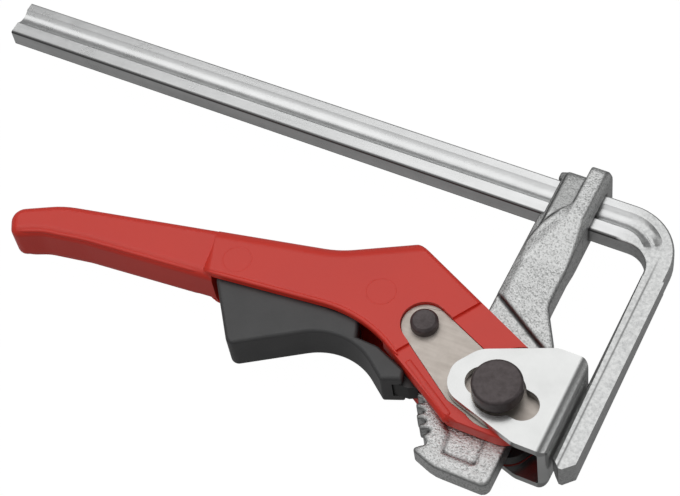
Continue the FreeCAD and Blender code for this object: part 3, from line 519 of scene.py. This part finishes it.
def fade_groove(points):
    """The groove runs out round the bend: its depth falls from full to none as a smooth step of the angle."""
    dx = points[:, 0] - BEND_HUB[0]
    dy = points[:, 1] - BEND_HUB[1]
    radius = np.hypot(dx, dy)
    turn = np.arctan2(dx, dy)
    inside = (turn > 0.0) & (turn < GROOVE_TURN) & (radius > GROOVE_RADII[0]) & (radius < GROOVE_RADII[1])
    step = np.clip((turn - FADE_ANGLES[0]) / (FADE_ANGLES[1] - FADE_ANGLES[0]), 0.0, 1.0)
    kept = 1.0 - step * step * (3.0 - 2.0 * step)
    depth = np.maximum(BAR_HALF - np.abs(points[:, 2]), 0.0)
    raised = np.sign(points[:, 2]) * (BAR_HALF - depth * kept)
    points[:, 2] = np.where(inside & (depth < GROOVE_DEEPEST), raised, points[:, 2])
    return points


# The step between grip and head: its foot and length along X, how far foot and brow move and lean, the
# heights between which they lean, the channel that stays as it is, and the slope of the top line.
STEP_FOOT = -117.5 * MM
STEP_LENGTH = 4.2 * MM
STEP_MARGINS = (1.6 * MM, 0.2 * MM)
FOOT_SHIFT = -1.7 * MM
FOOT_LEAN = -1.6 * MM
BROW_SHIFT = -2.4 * MM
BROW_LEAN = -3.9 * MM
STEP_LOW = 3.4 * MM
STEP_HIGH = 14.0 * MM
LEAN_LIMIT = 1.4
CHANNEL_HALF = 6.95 * MM
TOP_SLOPE = 0.177


def lean_step(points):
    """The step's line leans left with height, and its slope narrows towards the upper edge."""
    x, y = points[:, 0].copy(), points[:, 1].copy()
    near = (x > STEP_FOOT - STEP_MARGINS[0]) & (x < STEP_FOOT + STEP_LENGTH + STEP_MARGINS[1])
    near &= np.abs(points[:, 2]) > CHANNEL_HALF
    rise = np.clip((y - STEP_LOW) / (STEP_HIGH - STEP_LOW), 0.0, LEAN_LIMIT)
    brow = np.clip((x - STEP_FOOT) / STEP_LENGTH, 0.0, 1.0)
    foot_shift = (1.0 - brow) * (FOOT_SHIFT + FOOT_LEAN * rise)
    shift = near * (foot_shift + brow * (BROW_SHIFT + BROW_LEAN * rise))
    points[:, 0] = x + shift
    points[:, 1] = y + TOP_SLOPE * shift * np.clip(rise, 0.0, 1.0)
    return points


RESHAPED = {"rail": fade_groove, "handle": lean_step}


def soft_edged(name, radius):
    """Merged copy of a CAD node with rounded edges; it stands in for the node and rides on its body."""
    node = NODES[name]
    shape = bmesh.new()
    shape.from_mesh(node.data)
    bmesh.ops.remove_doubles(shape, verts=shape.verts, dist=WELD)
    bmesh.ops.dissolve_limit(shape, angle_limit=FLAT_ANGLE, verts=shape.verts, edges=shape.edges)
    mesh = bpy.data.meshes.new(f"{name}_finished")
    shape.to_mesh(mesh)
    shape.free()
    if name in RESHAPED:
        points = np.empty(len(mesh.vertices) * 3)
        mesh.vertices.foreach_get("co", points)
        mesh.vertices.foreach_set("co", RESHAPED[name](points.reshape(-1, 3)).ravel())
        mesh.update()
    mesh.materials.clear()
    for polygon in mesh.polygons:
        polygon.use_smooth = True
    piece = bpy.data.objects.new(f"{name}_finished", mesh)
    bpy.context.collection.objects.link(piece)
    edges = piece.modifiers.new("edges", "BEVEL")
    edges.limit_method = "ANGLE"
    edges.angle_limit = EDGE_ANGLE
    edges.width = radius * MM
    edges.segments = EDGE_SEGMENTS
    edges.use_clamp_overlap = True
    edges.miter_outer = "MITER_ARC"
    shading = piece.modifiers.new("shading", "WEIGHTED_NORMAL")
    shading.weight = 100
    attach(piece, body_of(node)[0])
    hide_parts(name)
    return piece


# Cell size and smoothing rounds of the forging's skin.
ARM_CELL = 0.42 * MM
ARM_SMOOTHING = 7
# Shoulder left of the ridge below the bar: corners x and y with the heights of its underside and top.
SHOULDER = (
    (-26.2, 69.6, 3.7, 8.7),
    (-29.6, 66.0, 3.7, 8.1),
    (-33.2, 60.4, 3.1, 6.7),
    (-35.6, 53.5, 2.8, 4.4),
    (-34.6, 46.5, 3.0, 4.1),
    (-26.2, 46.5, 3.4, 4.2),
    (-26.2, 64.8, 3.4, 8.9),
)


def shoulder(side):
    """A closed block between the two heights of every corner, on one side of the middle plane."""
    rim = np.array(SHOULDER) * MM
    count = len(rim)
    lower = np.column_stack([rim[:, 0], rim[:, 1], side * rim[:, 2]])
    upper = np.column_stack([rim[:, 0], rim[:, 1], side * rim[:, 3]])
    faces = [[k, (k + 1) % count, count + (k + 1) % count, count + k] for k in range(count)]
    fan = [[count - 1, k, k + 1] for k in range(count - 2)]
    faces += [[count + a, count + b, count + c] for a, b, c in fan] + fan
    return np.concatenate([lower, upper]).tolist(), faces


def forged_arm():
    """The arm's solid and its shoulders cut into even cells and smoothed, so that every edge is rounded."""
    node = NODES["sliding_arm"]
    shape = bmesh.new()
    shape.from_mesh(node.data)
    bmesh.ops.remove_doubles(shape, verts=shape.verts, dist=WELD)
    for side in (-1.0, 1.0):
        points, faces = shoulder(side)
        corners = [shape.verts.new(point) for point in points]
        block = [shape.faces.new([corners[k] for k in face]) for face in faces]
        bmesh.ops.recalc_face_normals(shape, faces=block)
    mesh = bpy.data.meshes.new("arm_forging")
    shape.to_mesh(mesh)
    shape.free()
    piece = bpy.data.objects.new("arm_forging", mesh)
    bpy.context.collection.objects.link(piece)
    cells = piece.modifiers.new("cells", "REMESH")
    cells.mode = "VOXEL"
    cells.voxel_size = ARM_CELL
    cells.use_smooth_shade = True
    rounded_edges = piece.modifiers.new("rounded_edges", "SMOOTH")
    rounded_edges.factor = 0.5
    rounded_edges.iterations = ARM_SMOOTHING
    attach(piece, body_of(node)[0])
    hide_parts("sliding_arm")
    return piece


def rounded_path(corners, steps=24):
    """Points of a flat path through corners (x, y, radius): straight runs joined by tangent arcs."""
    corner = np.array([c[:2] for c in corners])
    points = [corner[0]]
    for i in range(1, len(corners) - 1):
        before = corner[i] - corner[i - 1]
        after = corner[i + 1] - corner[i]
        before /= np.linalg.norm(before)
        after /= np.linalg.norm(after)
        turn = math.atan2(before[0] * after[1] - before[1] * after[0], before @ after)
        radius = corners[i][2]
        start = corner[i] - before * radius * math.tan(abs(turn) / 2.0)
        angle = np.linspace(0.0, abs(turn), steps)[:, None]
        side = np.array((-before[1], before[0])) * np.sign(turn)
        points.extend(start + radius * (np.sin(angle) * before + (1.0 - np.cos(angle)) * side))
    points.append(corner[-1])
    return np.array(points) * MM


def even_path(points, count):
    """The same path with its points at equal spacing."""
    gaps = np.linalg.norm(np.diff(points, axis=0), axis=1)
    along = np.concatenate(([0.0], np.cumsum(gaps)))
    place = np.linspace(0.0, along[-1], count)
    return np.stack([np.interp(place, along, points[:, k]) for k in (0, 1)], axis=1)


def tube_mesh(centre, out, up, radius, sides=14, closed=False):
    """A round tube: each point is its centre plus the radius times cos and sin of a turn along out and up."""
    turn = np.linspace(0.0, 2.0 * math.pi, sides, endpoint=False)
    ring = out[:, None, :] * np.cos(turn)[None, :, None] + up[:, None, :] * np.sin(turn)[None, :, None]
    points = centre[:, None, :] + radius[:, None, None] * ring
    rows = len(centre)
    row, column = np.meshgrid(np.arange(rows if closed else rows - 1), np.arange(sides), indexing="ij")
    after = (row + 1) % rows
    beside = (column + 1) % sides
    faces = np.stack([row * sides + column, row * sides + beside, after * sides + beside,
                      after * sides + column], axis=-1).reshape(-1, 4).tolist()
    if not closed:
        faces += [list(range(sides)), list(range((rows - 1) * sides, rows * sides))]
    return points.reshape(-1, 3), faces


# Lower edges of grip, head and fork: corners x, y and radius, then the face's height, the edge offset and
# the lip's radius, all in millimetres.
LIPS = (
    (((-181.0, -6.0, 0.0), (-173.1, -2.6, 14.0), (-159.1, -0.2, 30.0), (-119.6, 3.3, 0.0)),
     7.1, 1.1, 0.75),
    (((-117.6, 3.55, 0.0), (-68.0, 8.9, 40.0), (-52.6, 0.1, 0.0)), 9.0, 0.75, 0.8),
    (((-50.9, -0.6, 0.0), (-30.6, -13.3, 0.0)), 8.0, 1.75, 2.05),
)
# Points along a lip, and how fast its ends taper and to what least share.
LIP_POINTS = 120
LIP_TAPER = 16.0
LIP_LEAST = 0.02
# Faint moulding rings on the head's faces: centre and radius in millimetres, the face's height, the wire and
# how deep its middle lies, and the points round a ring and round its wire.
RINGS = ((-110.7, 11.2, 4.4), (-65.9, 17.8, 4.4))
HEAD_FACE = 9.0 * MM
RING_POINTS = 64
RING_SIDES = 10
RING_WIRE = 0.34 * MM
RING_SINK = 0.28 * MM


def handle_trim(material):
    """Rounded lips along the handle's lower edges and faint moulding rings, on both faces: round tubes."""
    points, faces = [], []

    def add(part_points, part_faces):
        start = sum(len(p) for p in points)
        points.append(part_points)
        faces.extend([[start + k for k in face] for face in part_faces])

    for side in (-1.0, 1.0):
        for corners, face_height, offset, radius in LIPS:
            path = even_path(rounded_path(corners), LIP_POINTS)
            run = np.gradient(path, axis=0)
            run /= np.linalg.norm(run, axis=1)[:, None]
            out = np.stack([-run[:, 1], run[:, 0], np.zeros(len(run))], axis=1)
            level = np.full(len(path), side * (face_height - offset) * MM)
            centre = np.column_stack([path, level]) + out * offset * MM
            up = np.tile((0.0, 0.0, 1.0), (len(run), 1))
            share = np.linspace(0.0, 1.0, len(run))
            taper = np.sqrt(np.clip(np.minimum(share, 1.0 - share) * LIP_TAPER, LIP_LEAST, 1.0))
            add(*tube_mesh(centre, out, up, radius * MM * taper))
        for x, y, radius in RINGS:
            turn = np.linspace(0.0, 2.0 * math.pi, RING_POINTS, endpoint=False)
            out = np.stack([np.cos(turn), np.sin(turn), np.zeros(RING_POINTS)], axis=1)
            middle = np.array((x * MM, y * MM, side * (HEAD_FACE - RING_SINK)))
            up = np.tile((0.0, 0.0, 1.0), (RING_POINTS, 1))
            wire = np.full(RING_POINTS, RING_WIRE)
            add(*tube_mesh(middle + out * radius * MM, out, up, wire, RING_SIDES, True))
    mesh = bpy.data.meshes.new("handle_trim")
    mesh.from_pydata(np.concatenate(points).tolist(), [], faces)
    shape = bmesh.new()
    shape.from_mesh(mesh)
    bmesh.ops.recalc_face_normals(shape, faces=shape.faces)
    shape.to_mesh(mesh)
    shape.free()
    for polygon in mesh.polygons:
        polygon.use_smooth = True
    mesh.materials.append(material)
    trim = bpy.data.objects.new("handle_trim", mesh)
    bpy.context.collection.objects.link(trim)
    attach(trim, "handle_body")


def dress_nodes():
    """Gives each piece its finish, on its rounded copy where it has one."""
    zinc_bar = drawn_zinc()
    zinc_arm = cast_zinc()
    zinc_shoe = folded_zinc()
    plate = bare_plate()
    pin = browned_pin()
    ring = plain_steel("ring_steel", 0.30, 0.4)
    spring = plain_steel("spring_wire", 0.36, 0.32)
    pawl = plain_steel("pawl_steel", 0.055, 0.42)
    red = red_moulding()
    black = black_moulding()
    finishes = {
        "rail": zinc_bar,
        "sliding_arm": zinc_arm,
        "pressure_shoe": zinc_shoe,
        "side_plate_front": plate,
        "side_plate_back": plate,
        "pivot_pin": pin,
        "trigger_rivet": pin,
        "pin_retaining_ring": ring,
        "trigger_spring": spring,
        "ratchet_pawl": pawl,
        "pawl_pin": ring,
        "handle": red,
        "trigger": black,
    }
    for name, material in finishes.items():
        if name == "sliding_arm":
            piece = forged_arm()
        elif name in EDGE_RADII:
            piece = soft_edged(name, EDGE_RADII[name])
        else:
            piece = NODES[name]
        piece.data.materials.clear()
        piece.data.materials.append(material)
    handle_trim(red)


def make_floor():
    """Pale floor under the object: white to the camera, keeping the object's soft shadow."""
    height = float(cad_low[2]) - FLOOR_DROP
    corners = [(x * FLOOR_HALF, y * FLOOR_HALF, height) for x, y in ((-1, -1), (1, -1), (1, 1), (-1, 1))]
    mesh = bpy.data.meshes.new("floor")
    mesh.from_pydata(corners, [], [(0, 1, 2, 3)])
    floor = bpy.data.objects.new("floor", mesh)
    bpy.context.collection.objects.link(floor)
    material = bpy.data.materials.new("floor_white")
    material.use_nodes = True
    tree = material.node_tree
    tree.nodes.clear()
    out = tree.nodes.new("ShaderNodeOutputMaterial")
    matt = tree.nodes.new("ShaderNodeBsdfDiffuse")
    matt.inputs["Color"].default_value = FLOOR_GREY
    glow = tree.nodes.new("ShaderNodeEmission")
    glow.inputs["Color"].default_value = WHITE
    glow.inputs["Strength"].default_value = FLOOR_GLOW
    mix = tree.nodes.new("ShaderNodeMixShader")
    tree.links.new(white_share(tree), mix.inputs["Fac"])
    tree.links.new(matt.outputs["BSDF"], mix.inputs[1])
    tree.links.new(glow.outputs["Emission"], mix.inputs[2])
    tree.links.new(mix.outputs["Shader"], out.inputs["Surface"])
    mesh.materials.append(material)


make_camera()
make_lamps()
make_world()
dress_nodes()
make_floor()

scene = bpy.context.scene
scene.view_settings.view_transform = "Standard"
